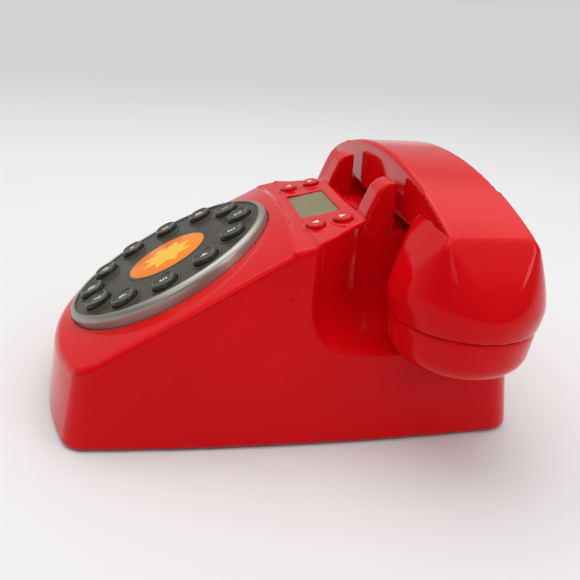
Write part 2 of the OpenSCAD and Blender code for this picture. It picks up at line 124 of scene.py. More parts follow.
def ramp(tree, source, low, high, a, b):
    """Colour ramp from colour a at value low to colour b at value high."""
    node = tree.nodes.new("ShaderNodeValToRGB")
    node.color_ramp.elements[0].position = low
    node.color_ramp.elements[0].color = (*a, 1)
    node.color_ramp.elements[1].position = high
    node.color_ramp.elements[1].color = (*b, 1)
    tree.links.new(source, node.inputs["Fac"])
    return node


def span(tree, source, low, high, a, b):
    """Maps source from low..high to the numbers a..b."""
    node = tree.nodes.new("ShaderNodeMapRange")
    node.inputs["From Min"].default_value = low
    node.inputs["From Max"].default_value = high
    node.inputs["To Min"].default_value = a
    node.inputs["To Max"].default_value = b
    tree.links.new(source, node.inputs["Value"])
    return node


def plastic(name, color, shade, rough=(0.1, 0.2), peel=0.02, peel_scale=160.0, grain=0.0,
            coat=0.0, metallic=0.0, specular=0.5, patch_scale=18.0, tint=(1, 1, 1)):
    """Moulded or painted surface: faint tone patches, handling marks in its gloss, and a fine relief."""
    material, tree, shader = new_material(name)
    patches = noise(tree, patch_scale, 5.0, 0.6)
    tone = ramp(tree, patches.outputs["Fac"], 0.32, 0.7, color, shade)
    tree.links.new(tone.outputs["Color"], shader.inputs["Base Color"])
    marks = noise(tree, patch_scale * 3.1, 6.0, 0.65)
    gloss = span(tree, marks.outputs["Fac"], 0.3, 0.75, rough[0], rough[1])
    tree.links.new(gloss.outputs["Result"], shader.inputs["Roughness"])
    relief = noise(tree, peel_scale, 2.0, 0.4)
    bump = tree.nodes.new("ShaderNodeBump")
    bump.inputs["Strength"].default_value = peel
    bump.inputs["Distance"].default_value = 0.0006
    tree.links.new(relief.outputs["Fac"], bump.inputs["Height"])
    last = bump
    if grain:
        fine = noise(tree, 2600.0, 3.0, 0.7)
        fine_bump = tree.nodes.new("ShaderNodeBump")
        fine_bump.inputs["Strength"].default_value = grain
        fine_bump.inputs["Distance"].default_value = 0.0001
        tree.links.new(fine.outputs["Fac"], fine_bump.inputs["Height"])
        tree.links.new(bump.outputs["Normal"], fine_bump.inputs["Normal"])
        last = fine_bump
    tree.links.new(last.outputs["Normal"], shader.inputs["Normal"])
    shader.inputs["Metallic"].default_value = metallic
    shader.inputs["Specular IOR Level"].default_value = specular
    shader.inputs["Specular Tint"].default_value = (*tint, 1)
    shader.inputs["Coat Weight"].default_value = coat
    shader.inputs["Coat Roughness"].default_value = 0.04
    return material


def brushed(name, color, shade, rough=(0.28, 0.42)):
    """Plated steel with fine lines along X."""
    material, tree, shader = new_material(name)
    coords = tree.nodes.new("ShaderNodeTexCoord")
    stretch = tree.nodes.new("ShaderNodeMapping")
    stretch.inputs["Scale"].default_value = (60, 3000, 3000)
    tree.links.new(coords.outputs["Object"], stretch.inputs["Vector"])
    lines = tree.nodes.new("ShaderNodeTexNoise")
    lines.inputs["Scale"].default_value = 1.0
    tree.links.new(stretch.outputs["Vector"], lines.inputs["Vector"])
    tone = ramp(tree, lines.outputs["Fac"], 0.3, 0.7, color, shade)
    tree.links.new(tone.outputs["Color"], shader.inputs["Base Color"])
    gloss = span(tree, lines.outputs["Fac"], 0.3, 0.7, rough[0], rough[1])
    tree.links.new(gloss.outputs["Result"], shader.inputs["Roughness"])
    shader.inputs["Metallic"].default_value = 1.0
    return material


def liquid_crystal(name):
    """Grey-green reflective display with a faint grid of unlit cells."""
    material, tree, shader = new_material(name)
    coords = tree.nodes.new("ShaderNodeTexCoord")
    patches = noise(tree, 30.0, 3.0, 0.5)
    tone = ramp(tree, patches.outputs["Fac"], 0.3, 0.7, (0.2, 0.185, 0.085), (0.235, 0.215, 0.105))
    grid = tree.nodes.new("ShaderNodeTexBrick")
    grid.offset = 0.0
    grid.inputs["Scale"].default_value = 1.0
    grid.inputs["Brick Width"].default_value = 0.0026
    grid.inputs["Row Height"].default_value = 0.0046
    grid.inputs["Mortar Size"].default_value = 0.00022
    grid.inputs["Color1"].default_value = (0.93, 0.93, 0.93, 1)
    grid.inputs["Color2"].default_value = (0.95, 0.95, 0.95, 1)
    grid.inputs["Mortar"].default_value = (1, 1, 1, 1)
    tree.links.new(coords.outputs["Object"], grid.inputs["Vector"])
    mix = tree.nodes.new("ShaderNodeMix")
    mix.data_type = "RGBA"
    mix.blend_type = "MULTIPLY"
    mix.inputs[0].default_value = 0.8
    tree.links.new(tone.outputs["Color"], mix.inputs[6])
    tree.links.new(grid.outputs["Color"], mix.inputs[7])
    tree.links.new(mix.outputs[2], shader.inputs["Base Color"])
    smudge = noise(tree, 70.0, 5.0, 0.6)
    gloss = span(tree, smudge.outputs["Fac"], 0.3, 0.7, 0.16, 0.3)
    tree.links.new(gloss.outputs["Result"], shader.inputs["Roughness"])
    shader.inputs["Coat Weight"].default_value = 0.12
    shader.inputs["Coat Roughness"].default_value = 0.08
    shader.inputs["Specular IOR Level"].default_value = 0.15
    return material


RED = plastic("red gloss plastic", (0.66, 0.002, 0.005), (0.6, 0.0015, 0.004), rough=(0.05, 0.12),
              peel=0.012, peel_scale=70.0, specular=0.34, tint=(1, 0.3, 0.32))
RED_BUTTON = plastic("red button plastic", (0.62, 0.008, 0.007), (0.55, 0.005, 0.006), rough=(0.16, 0.28),
                     peel=0.02, grain=0.02, specular=0.3, tint=(1, 0.4, 0.4))
RED_BASE = plastic("dark red base plastic", (0.36, 0.006, 0.008), (0.3, 0.004, 0.006), rough=(0.42, 0.55),
                   peel=0.03, grain=0.25)
CHARCOAL = plastic("charcoal dial plastic", (0.056, 0.052, 0.036), (0.046, 0.043, 0.03), rough=(0.24, 0.36),
                   peel=0.015, grain=0.05, specular=0.14)
KEY_PLASTIC = plastic("dark key plastic", (0.034, 0.031, 0.021), (0.026, 0.024, 0.017), rough=(0.07, 0.14),
                      peel=0.02, specular=0.4)
PEWTER = plastic("pewter paint", (0.36, 0.345, 0.3), (0.3, 0.29, 0.25), rough=(0.3, 0.4), peel=0.015,
                 grain=0.06, metallic=0.75)
BLACK = plastic("black plastic", (0.02, 0.02, 0.02), (0.03, 0.03, 0.03), rough=(0.3, 0.45), grain=0.1)
RUBBER = plastic("foot rubber", (0.025, 0.025, 0.025), (0.04, 0.04, 0.038), rough=(0.65, 0.85), grain=0.4,
                 specular=0.3)
SILICONE = plastic("silicone mat", (0.5, 0.5, 0.47), (0.42, 0.42, 0.4), rough=(0.5, 0.65), grain=0.1)
BOARD = plastic("circuit board", (0.012, 0.1, 0.045), (0.02, 0.14, 0.06), rough=(0.25, 0.4), grain=0.05,
                patch_scale=120.0)
STEEL = brushed("plated steel", (0.62, 0.62, 0.6), (0.5, 0.5, 0.5))
CELL = plastic("cell wrap", (0.03, 0.05, 0.2), (0.02, 0.035, 0.15), rough=(0.15, 0.3), coat=0.3)
SPEAKER = plastic("speaker frame", (0.04, 0.04, 0.042), (0.06, 0.06, 0.06), rough=(0.4, 0.6), grain=0.2)
IVORY = plastic("socket plastic", (0.6, 0.57, 0.48), (0.52, 0.49, 0.42), rough=(0.3, 0.45), grain=0.05)
MODULE = plastic("display frame", (0.09, 0.09, 0.075), (0.06, 0.06, 0.05), rough=(0.4, 0.55), grain=0.1)
LCD = liquid_crystal("liquid crystal")
ORANGE = plastic("label orange", (0.88, 0.235, 0.012), (0.8, 0.2, 0.01), rough=(0.25, 0.35), specular=0.15)
YELLOW = plastic("label yellow", (0.85, 0.5, 0.04), (0.8, 0.45, 0.03), rough=(0.25, 0.35), specular=0.15)
PRINT_WHITE = plastic("white print", (0.82, 0.8, 0.74), (0.74, 0.72, 0.66), rough=(0.3, 0.45))


def paint(obj, material):
    obj.data.materials.clear()
    obj.data.materials.append(material)


# ---------------------------------------------------------------- distance fields (mm)
def both(a, b, r):
    """Intersection of two fields, with its edge rounded to radius r."""
    return np.minimum(np.maximum(a, b), -r) + np.hypot(np.maximum(a + r, 0), np.maximum(b + r, 0))


def either(a, b, r):
    """Union of two fields, with its inner corner filled to radius r."""
    return -both(-a, -b, r)


def leaning_walls(x, y, z):
    """The four outer walls, and the rear one alone; each is scaled back to a true distance."""
    rise = z - RIM_Z
    side = (np.abs(x) - (BASE_HALF_W - rise * WALL_LEAN - y * y / (2 * SIDE_BOW))) * 0.988
    curve = FRONT_RIM_R - FRONT_R_CHANGE * np.clip(rise / BROW_RISE, 0, 1)
    front = (np.hypot(x, y + BASE_HALF_L - rise * WALL_LEAN - curve) - curve) * 0.988
    rear = (y - BASE_HALF_L + rise * REAR_LEAN) * 0.995
    return both(both(side, front, FRONT_CORNER_R), rear, REAR_CORNER_R), rear


def dial_coords(y, z):
    """Distance up the dial's slope from its centre, and height above it."""
    c, s = math.cos(DIAL_TILT), math.sin(DIAL_TILT)
    return c * (y - DIAL_Y) + s * (z - DIAL_Z), c * (z - DIAL_Z) - s * (y - DIAL_Y)


def panel_coords(y, z):
    """Distance up the display panel's slope from the crease, and height above it."""
    c, s = math.cos(PANEL_TILT), math.sin(PANEL_TILT)
    return c * (y - CREASE_Y) + s * (z - CREASE_Z), c * (z - CREASE_Z) - s * (y - CREASE_Y)


def base_body(x, y, z):
    """Solid form of the base without its horns."""
    walls, rear = leaning_walls(x, y, z)
    along, up = dial_coords(y, z)
    ca, sa = math.cos(CONE_HALF), math.sin(CONE_HALF)
    q = along - CONE_APEX
    depth = q * ca - up * sa
    radial = np.sqrt(x * x + (q - ca * depth) ** 2 + (up + sa * depth) ** 2)
    cone = radial * ca - depth * sa
    crease = np.hypot(x, y - CREASE_BOW + CREASE_R) - CREASE_R
    face = both(cone, crease, 3.0)
    v, w = panel_coords(y, z)
    panel = both(both(w, y - PANEL_END, 1.4), -(crease + 0.6), 0.6)
    top = either(face, panel, 2.0)
    cradle = both(z - CRADLE_Z, CREASE_Y + 10 - y, 0.5)
    top = either(top, cradle, 1.6)
    top = np.minimum(top, both(z - 70, -20 - y, 0.5))
    body = both(walls, top, 2.2)
    ax = np.abs(x)
    slant = -((ax - CRADLE_HALF_W) * RECESS_SLANT[0] + (y - PANEL_END) * RECESS_SLANT[1])
    plan = both(both(CRADLE_HALF_W - ax, slant, 4.0), RECESS_Y - y, 7.0)
    recess = both(plan, DECK_Z - z, RECESS_FLOOR_R)
    return both(body, -recess, 2.0), rear


def housing_field(x, y, z):
    """The hollow upper housing, with its horns, pocket, posts and openings."""
    body, rear = base_body(x, y, z)
    ax = np.abs(x)
    across = np.abs(ax - CRADLE_HALF_W + HORN_W / 2) - HORN_W / 2
    lean = (y - HORN_FRONT_Y) * -0.922 + (z - 99.3) * 0.386
    horn = both(both(both(lean, z - HORN_TOP, 5.0), y - HORN_REAR_Y, 2.0), HORN_FRONT_Y - y, 0.6)
    horn = np.maximum(both(horn, across, 1.6), HORN_ROOT_Z - z)
    back = both(both(REAR_HORN_Y - y, z - REAR_HORN_TOP, 2.0), rear, 2.6)
    back = np.maximum(both(back, across, 1.6), HORN_ROOT_Z - z)
    solid = np.minimum(np.minimum(body, horn), back)
    along, up = dial_coords(y, z)
    rad = np.hypot(x, along)
    shell = np.maximum(solid, -(body + SHELL_WALL))
    tray = np.maximum(np.maximum(rad - TRAY_R, -10 - up), body)
    shell = np.minimum(shell, tray)
    for px, py in POSTS:
        post = np.maximum(np.maximum(np.hypot(ax - px, y - py) - POST_R, body + 1), POST_LOW - z)
        shell = np.minimum(shell, post)
    shell = both(shell, RIM_Z - z, 0.9)
    pocket = both(rad - POCKET_R, POCKET_FLOOR - up, 0.3)
    shell = both(shell, -pocket, 0.7)
    shell = np.maximum(shell, -np.maximum(rad - POCKET_HOLE_R, -20 - up))
    v, w = panel_coords(y, z)
    window = np.maximum(both(ax - WINDOW_HALF_W, np.abs(v - WINDOW_MID) - WINDOW_HALF_H, 0.6), -8 - w)
    shell = both(shell, -window, 0.5)
    for row in BUTTON_ROWS:
        hole = (np.hypot((ax - BUTTON_X) / BUTTON_HOLE_W, (v - row) / BUTTON_HOLE_H) - 1) * 5.0
        lip = np.hypot(np.maximum(np.abs(hole - 1.1) - 0.2, 0), w) - 0.55
        shell = either(shell, lip, 0.5)
        shell = np.maximum(shell, -np.maximum(hole, -9 - w))
    plunger = np.maximum(np.hypot(ax - PLUNGER_X, y - HAND_Y) - PLUNGER_HOLE_R, 80 - z)
    shell = np.maximum(shell, -plunger)
    socket = both(np.abs(x - LINE_JACK_X) - SOCKET_HALF_W, np.abs(z - SOCKET_Z) - SOCKET_HALF_H, 0.6)
    slot = both(np.abs(x - RINGER_X) - RINGER_HALF_W, np.abs(z - RINGER_Z) - RINGER_HALF_H, 0.6)
    shell = both(shell, -np.maximum(np.minimum(socket, slot), 90 - y), 0.4)
    jack = both(np.abs(y - HANDSET_JACK_Y) - SOCKET_HALF_W, np.abs(z - SOCKET_Z) - SOCKET_HALF_H, 0.6)
    jack = np.maximum(jack, x + 60)
    return both(shell, -jack, 0.4)


def handset_field(x, y, z):
    """Handset shell, level and centred on its own plane of symmetry."""
    ax = np.abs(x)
    arch = np.hypot(x, z - HAND_TOP + ARCH_R) - ARCH_R
    bar = both(both(arch, np.abs(y) - HAND_HALF, 2.2), HAND_LOW - z, 4.0)
    bar = np.maximum(bar, ax - BAR_END_X)
    grow = np.clip((z - CUP_WIDE_Z) / CUP_TAPER, 0, 1) ** 1.3
    half = CUP_R - 15 * grow - 1.5 * np.clip((CUP_WIDE_Z - z) / 9.5, 0, 2) ** 2
    corner = np.maximum(half - 16.5 * np.clip(grow * 1.2, 0, 1), 3.0)
    qx = np.abs(ax - (CUP_X - 1.5 * grow)) - half + corner
    qy = np.abs(y) - half + corner
    section = np.hypot(np.maximum(qx, 0), np.maximum(qy, 0))
    section = section + np.minimum(np.maximum(qx, qy), 0) - corner
    cup = both(section * 0.9, arch, 0.8)
    shell = either(bar, cup, 0.05 + 7.0 * np.clip((104 - z) / 9, 0, 1))
    shell = both(shell, SEAM_Z + 0.1 - z, 0.6)
    neck = np.maximum(np.hypot(ax - CUP_X, y) - NECK_R - 0.1, z - 77)
    shell = np.maximum(shell, -neck)
    seat = both(both(ax - 46.4, np.abs(y) - 14.4, 1.0), z - COVER_Z, 0.3)
    shell = both(shell, -seat, 0.5)
    socket = np.maximum(both(np.abs(y) - 5.7, np.abs(z - 80.3) - 5.3, 0.5), x + 98)
    return both(shell, -socket, 0.5)


def gradient(field, p, h=0.04):
    """Slope of a field at points p, from differences h either way."""
    g = np.empty_like(p)
    for k in range(3):
        a, b = p.copy(), p.copy()
        a[:, k] += h
        b[:, k] -= h
        g[:, k] = (field(*a.T) - field(*b.T)) / (2 * h)
    return g


def unit(v):
    """Rows of v at length 1."""
    return v / np.maximum(np.linalg.norm(v, axis=1), 1e-9)[:, None]


def surface(name, field, low, high, step, place=Matrix.Identity(4)):
    """Quad mesh of field = 0 over a grid.

    Each cell that the surface crosses gets one point, set where the crossings' tangent planes meet.
    Points on smooth ground are eased and drawn onto the exact surface; those on an edge stay, and
    their faces take the field's slope beside them, so that the edge stays crisp.
    """
    axes = [np.arange(a, b + step, step) for a, b in zip(low, high)]
    value = np.empty([len(a) for a in axes], np.float32)
    for i, at in enumerate(axes[0]):
        yy, zz = np.meshgrid(axes[1], axes[2], indexing="ij")
        value[i] = field(np.full_like(yy, at), yy, zz)
    inside = value < 0
    corners = [(i, j, k) for i in (0, 1) for j in (0, 1) for k in (0, 1)]
    n = np.array(value.shape) - 1

    def shifted(a, c):
        return a[c[0]:c[0] + n[0], c[1]:c[1] + n[1], c[2]:c[2] + n[2]]

    count = sum(shifted(inside, c).astype(np.int8) for c in corners)
    cells = np.argwhere((count > 0) & (count < 8))
    index = np.full(n, -1, np.int64)
    index[tuple(cells.T)] = np.arange(len(cells))
    owner, hit = [], []
    for axis in range(3):
        for c in corners:
            if c[axis]:
                continue
            d = np.array(c)
            d[axis] = 1
            a = value[tuple((cells + c).T)].astype(float)
            b = value[tuple((cells + d).T)].astype(float)
            crossing = (a < 0) != (b < 0)
            point = (cells + np.array(c, float))[crossing]
            point[:, axis] += (a[crossing] / (a - b)[crossing])
            owner.append(np.flatnonzero(crossing))
            hit.append(point)
    owner = np.concatenate(owner)
    hit = np.array(low, float) + np.concatenate(hit) * step

    def gathered(weight):
        return np.bincount(owner, weight, len(cells))

    facing = unit(gradient(field, hit))
    number = gathered(None)
    middle = np.stack([gathered(hit[:, k]) / number for k in range(3)], 1)
    offset = ((hit - middle[owner]) * facing).sum(1)
    normal_matrix = np.zeros((len(cells), 3, 3))
    for i in range(3):
        for j in range(3):
            normal_matrix[:, i, j] = gathered(facing[:, i] * facing[:, j])
    normal_matrix += 0.08 * np.eye(3)
    pull = np.stack([gathered(facing[:, k] * offset) for k in range(3)], 1)
    corner = np.linalg.solve(normal_matrix, pull[:, :, None])[:, :, 0]
    cell_low = np.array(low, float) + cells * step
    points = np.clip(middle + corner, cell_low, cell_low + step)
    average = unit(np.stack([gathered(facing[:, k]) for k in range(3)], 1))
    spread = np.ones(len(cells))
    np.minimum.at(spread, owner, (facing * average[owner]).sum(1))
    edge = spread < math.cos(math.radians(24))
    quads = []
    for axis in range(3):
        u, v = [k for k in range(3) if k != axis]
        lo = [slice(None)] * 3
        hi = [slice(None)] * 3
        lo[axis], hi[axis] = slice(0, -1), slice(1, None)
        change = inside[tuple(lo)] != inside[tuple(hi)]
        at = np.argwhere(change)
        at = at[(at[:, u] > 0) & (at[:, v] > 0) & (at[:, u] < n[u]) & (at[:, v] < n[v])]
        ring = []
        for du, dv in ((1, 1), (0, 1), (0, 0), (1, 0)):
            cell = at.copy()
            cell[:, u] -= du
            cell[:, v] -= dv
            ring.append(index[tuple(cell.T)])
        quad = np.stack(ring, 1)
        turn = inside[tuple(at.T)] if axis != 1 else ~inside[tuple(at.T)]
        quad[~turn] = quad[~turn][:, ::-1]
        quads.append(quad)
    quads = np.concatenate(quads)
    quads = quads[(quads >= 0).all(1)]

    def settle(p, times):
        for _ in range(times):
            f = field(*p.T)
            g = gradient(field, p)
            move = g * (f / np.maximum((g * g).sum(1), 0.2))[:, None]
            length = np.linalg.norm(move, axis=1)
            move *= np.minimum(1, 0.5 * step / np.maximum(length, 1e-9))[:, None]
            p = p - move
        return p

    points[~edge] = settle(points[~edge], 2)
    for _ in range(3):
        centre = points[quads].mean(1)
        total = np.stack([np.bincount(quads.ravel(), np.repeat(centre[:, k], 4), len(points))
                          for k in range(3)], 1)
        number = np.maximum(np.bincount(quads.ravel(), minlength=len(points)), 1)[:, None]
        eased = points + 0.6 * (total / number - points)
        points[~edge] = settle(eased[~edge], 2)
    normals = unit(gradient(field, points, 0.08))[quads]
    face, at = np.nonzero(edge[quads])
    tip = points[quads[face, at]]
    beside = tip + 0.35 * (points[quads[face]].mean(1) - tip)
    normals[face, at] = unit(gradient(field, beside))
    turn = np.array(place.to_3x3())
    shift = np.array(place.translation)
    mesh = bpy.data.meshes.new(name)
    mesh.from_pydata((points * MM @ turn.T + shift).tolist(), [], quads.tolist())
    mesh.shade_smooth()
    mesh.normals_split_custom_set((normals.reshape(-1, 3) @ turn.T).tolist())
    return linked(name, mesh)


# ---------------------------------------------------------------- lofted and turned meshes
def mesh_object(name, verts, faces, place=Matrix.Identity(4), sharp=35.0):
    mesh = bpy.data.meshes.new(name)
    mesh.from_pydata([place @ (Vector(v) * MM) for v in verts], [], faces)
    bm = bmesh.new()
    bm.from_mesh(mesh)
    bmesh.ops.recalc_face_normals(bm, faces=bm.faces)
    bm.to_mesh(mesh)
    bm.free()
    mesh.shade_smooth()
    mesh.set_sharp_from_angle(angle=math.radians(sharp))
    return linked(name, mesh)


def oval_ring(w, h, z, count=56, power=2.25):
    """Closed ring of a slightly squared ellipse, w by h, at height z."""
    ring = []
    for i in range(count):
        t = 2 * math.pi * i / count
        c, s = math.cos(t), math.sin(t)
        ring.append((w / 2 * math.copysign(abs(c) ** (2 / power), c),
                     h / 2 * math.copysign(abs(s) ** (2 / power), s), z))
    return ring


def loft(name, rings, place, closed=False, sharp=35.0):
    """Skin over rings of equal count, capped at both ends, or joined end to end when closed."""
    verts = [p for ring in rings for p in ring]
    m, faces = len(rings[0]), []
    last = len(rings) if closed else len(rings) - 1
    for r in range(last):
        a, b = r * m, ((r + 1) % len(rings)) * m
        for i in range(m):
            j = (i + 1) % m
            faces.append((a + i, a + j, b + j, b + i))
    if not closed:
        faces.append(tuple(reversed(range(m))))
        faces.append(tuple((len(rings) - 1) * m + i for i in range(m)))
    return mesh_object(name, verts, faces, place, sharp)


def turned(name, profile, place, count=128, closed=True, sharp=30.0):
    """Surface of revolution about Z from (radius, height) points."""
    rings = [[(r * math.cos(2 * math.pi * i / count), r * math.sin(2 * math.pi * i / count), z)
              for i in range(count)] for r, z in profile]
    return loft(name, rings, place, closed=closed, sharp=sharp)


def arc(cx, cz, r, start, end, steps):
    return [(cx + r * math.cos(math.radians(start + (end - start) * i / steps)),
             cz + r * math.sin(math.radians(start + (end - start) * i / steps))) for i in range(steps + 1)]


def printed(name, text, size, place):
    """Raised print, centred on its place."""
    curve = bpy.data.curves.new(name, "FONT")
    curve.body = text
    curve.size = size * MM
    curve.align_x = "CENTER"
    curve.align_y = "CENTER"
    curve.extrude = PRINT_THICK / 2 * MM
    curve.offset = PRINT_BOLD * MM
    curve.resolution_u = 4
    obj = linked(name, curve)
    bpy.context.view_layer.update()
    mesh = bpy.data.meshes.new_from_object(obj.evaluated_get(bpy.context.evaluated_depsgraph_get()))
    bpy.data.objects.remove(obj)
    xs = [v.co.x for v in mesh.vertices]
    ys = [v.co.y for v in mesh.vertices]
    middle = Vector(((min(xs) + max(xs)) / 2, (min(ys) + max(ys)) / 2, 0))
    mesh.transform(place @ Matrix.Translation(-middle))
    mesh.name = name
    return linked(name, mesh)


def add(obj, body, material, replaces=()):
    """Finishes a piece: its material, the body it rides and the nodes it stands for."""
    paint(obj, material)
    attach(obj, body)
    if replaces:
        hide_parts(*replaces)
    return obj


# ---------------------------------------------------------------- large mouldings
housing = surface("housing_moulding", housing_field, (-82, -116, -1), (82, 116, 118), HOUSING_STEP)
add(housing, "base", RED, ("housing_top",))
shell = surface("handset_moulding", handset_field, (-117, -36, 63), (117, 36, 126),
                HANDSET_STEP, HAND_FRAME)
add(shell, "handset", RED, ("handset_shell",))


# ---------------------------------------------------------------- ear and mouth caps
def cap_profile():
    """Outside, neck and inside of a cap, from its low centre round to its inner centre."""
    rim = SEAM_Z - 0.2
    outside = [(0.02, CAP_LOW)] + arc(19.0, CAP_LOW + 11.2, 11.2, -90, -8, 14)
    outside += [(CAP_R - 0.4, 59.5), (CAP_R - 0.05, 63.0), (CAP_R, rim - 0.8), (CAP_R - 0.3, rim - 0.2),
                (CAP_R - 0.7, rim)]
    neck = [(NECK_R, rim), (NECK_R, SEAM_Z + 7.6), (NECK_R - 0.4, SEAM_Z + 8), (NECK_R - 2.0, SEAM_Z + 8)]
    inside = [(NECK_R - 2.4, SEAM_Z + 7.6), (NECK_R - 2.4, 60.0), (24.0, 56.0), (21.5, 51.5), (17.5, 48.4),
              (12.0, CAP_LOW + 2.4), (0.02, CAP_LOW + 2.4)]
    return outside + neck + inside


def pierce(obj, place, spots, r):
    """Cuts round holes through the flat of a cap."""
    cutters = bmesh.new()
    for x, y in spots:
        at = place @ Matrix.Translation(Vector((x, y, CAP_LOW)) * MM)
        bmesh.ops.create_cone(cutters, cap_ends=True, segments=20, radius1=r * MM, radius2=r * MM,
                              depth=8 * MM, matrix=at)
    mesh = bpy.data.meshes.new("cutters")
    cutters.to_mesh(mesh)
    cutters.free()
    tool = linked("cutters", mesh)
    cut = obj.modifiers.new("holes", "BOOLEAN")
    cut.object = tool
    cut.solver = "EXACT"
    bpy.context.view_layer.update()
    result = bpy.data.meshes.new_from_object(obj.evaluated_get(bpy.context.evaluated_depsgraph_get()))
    obj.modifiers.clear()
    obj.data = result
    bpy.data.objects.remove(tool)
    result.set_sharp_from_angle(angle=math.radians(30))
    return obj


for side, node, holes in ((-1, "earpiece_cap", 6), (1, "mouthpiece_cap", 3)):
    place = HAND_FRAME @ Matrix.Translation(Vector((side * CUP_X, 0, 0)) * MM)
    cap = turned(node + "_moulding", cap_profile(), place, count=112, closed=False)
    if holes == 6:
        spots = [(0, 0)] + [(6.5 * math.cos(math.radians(60 * i)), 6.5 * math.sin(math.radians(60 * i)))
                            for i in range(6)]
    else:
        spots = [(0, -5), (0, 0), (0, 5)]
    pierce(cap, place, spots, 1.1)
    add(cap, "handset", RED, (node,))

# ---------------------------------------------------------------- dial
ring_profile = ([(51.4, -7.4), (51.4, 1.0), (52.7, 1.0), (52.7, 3.9)] + arc(53.1, 3.9, 0.4, 180, 75, 5)
                + arc(52.9, 1.4, 3.0, 72, 4, 10) + [(55.9, 0.4), (55.9, -7.4)])
ring = turned("pewter_ring", ring_profile, DIAL_FRAME, count=180)
add(ring, "base", PEWTER, ("dial_ring",))

for number, (node, mark) in enumerate(KEYS):
    turn = math.radians(30 * (1 - number))
    spot = (-math.sin(turn) * KEY_CIRCLE, math.cos(turn) * KEY_CIRCLE)
    place = DIAL_FRAME @ Matrix.Translation(Vector((spot[0], spot[1], 0)) * MM)
    rings = [oval_ring(KEY_W + 1.6, KEY_H + 1.6, KEY_LOW - 1.5), oval_ring(KEY_W + 1.6, KEY_H + 1.6, KEY_LOW),
             oval_ring(KEY_W - 0.1, KEY_H - 0.1, KEY_LOW)]
    for k in range(7):
        t = math.radians(90 * k / 6)
        off = 2 * 0.9 * (1 - math.cos(t))
        rings.append(oval_ring(KEY_W - 0.1 - off, KEY_H - 0.1 - off, KEY_TOP - 0.9 + 0.9 * math.sin(t)))
    for off, z in ((2.5, 6.55), (3.3, 6.3), (4.4, 6.1), (5.4, 6.05), (9.0, 6.05)):
        rings.append(oval_ring(KEY_W - off, KEY_H - off, z))
    key = loft(node + "_cap", rings, place, sharp=60)
    add(key, node, KEY_PLASTIC, (node,))
    size = 5.4 if mark not in "*#" else 6.2
    glyph = printed(node + "_mark", mark, size, place @ Matrix.Translation(Vector((0, 0, 6.06)) * MM))
    add(glyph, node, PRINT_WHITE)
    seat = []
    for off, z in ((0.75, -0.6), (0.75, 0.35), (1.1, 0.6), (1.9, 0.62), (2.5, 0.4), (3.2, 0.0), (3.2, -0.6)):
        seat.append(oval_ring(KEY_W + off, KEY_H + off, DISC_TOP + z))
    rim = loft(node + "_seat", seat, place, closed=True, sharp=60)
    add(rim, "base", CHARCOAL)

label_place = DIAL_FRAME @ Matrix.Translation(Vector((0, 0, LABEL_Z)) * MM)
disc_profile = [(0.02, 0.0), (0.02, LABEL_THICK), (LABEL_R - 0.15, LABEL_THICK),
                (LABEL_R, LABEL_THICK / 2), (LABEL_R, 0.0)]
add(turned("label_disc", disc_profile, label_place), "base", ORANGE)
corners = 2 * STAR_POINTS
petals = []
for i in range(corners):
    t = 2 * math.pi * i / corners
    r = STAR_OUTER if i % 2 else STAR_INNER
    petals += [(r * math.cos(t), r * math.sin(t), z) for z in (0.1, 0.1 + LABEL_THICK)]
faces = [tuple(range(1, 2 * corners, 2)), tuple(reversed(range(0, 2 * corners, 2)))]
for i in range(corners):
    j = (i + 1) % corners
    faces.append((2 * i, 2 * j, 2 * j + 1, 2 * i + 1))
star = mesh_object("label_star", petals, faces, label_place)
add(star, "base", YELLOW)

# ---------------------------------------------------------------- function buttons
for node, side, row in BUTTONS:
    v = BUTTON_ROWS[row]
    place = PANEL_FRAME @ Matrix.Translation(Vector((side * BUTTON_X, v, 0)) * MM)
    rings = [oval_ring(BUTTON_W + 1.4, BUTTON_H + 1.4, -3.9), oval_ring(BUTTON_W + 1.4, BUTTON_H + 1.4, -2.9),
             oval_ring(BUTTON_W - 0.1, BUTTON_H - 0.1, -2.9)]
    for k in range(6):
        t = math.radians(90 * k / 5)
        off = 2 * 0.8 * (1 - math.cos(t))
        z = BUTTON_TOP - 0.8 + 0.8 * math.sin(t)
        rings.append(oval_ring(BUTTON_W - 0.1 - off, BUTTON_H - 0.1 - off, z))
    rings.append(oval_ring(BUTTON_W - 3.2, BUTTON_H - 3.2, BUTTON_TOP - 0.12))
    rings.append(oval_ring(BUTTON_W - 5.0, BUTTON_H - 5.0, BUTTON_TOP - 0.15))
    cap = loft(node + "_cap", rings, place, sharp=60)
    add(cap, node, RED_BUTTON, (node,))
    tip = 1.5 if row else -1.5
    flat = [(-1.9, -tip), (1.9, -tip), (0, tip)]
    verts = [(x, y, BUTTON_TOP - 0.16) for x, y in flat] + [(x, y, BUTTON_TOP - 0.04) for x, y in flat]
    faces = [(0, 2, 1), (3, 4, 5)] + [(i, (i + 1) % 3, 3 + (i + 1) % 3, 3 + i) for i in range(3)]
    arrow = mesh_object(node + "_arrow", verts, faces, place)
    add(arrow, node, PRINT_WHITE)

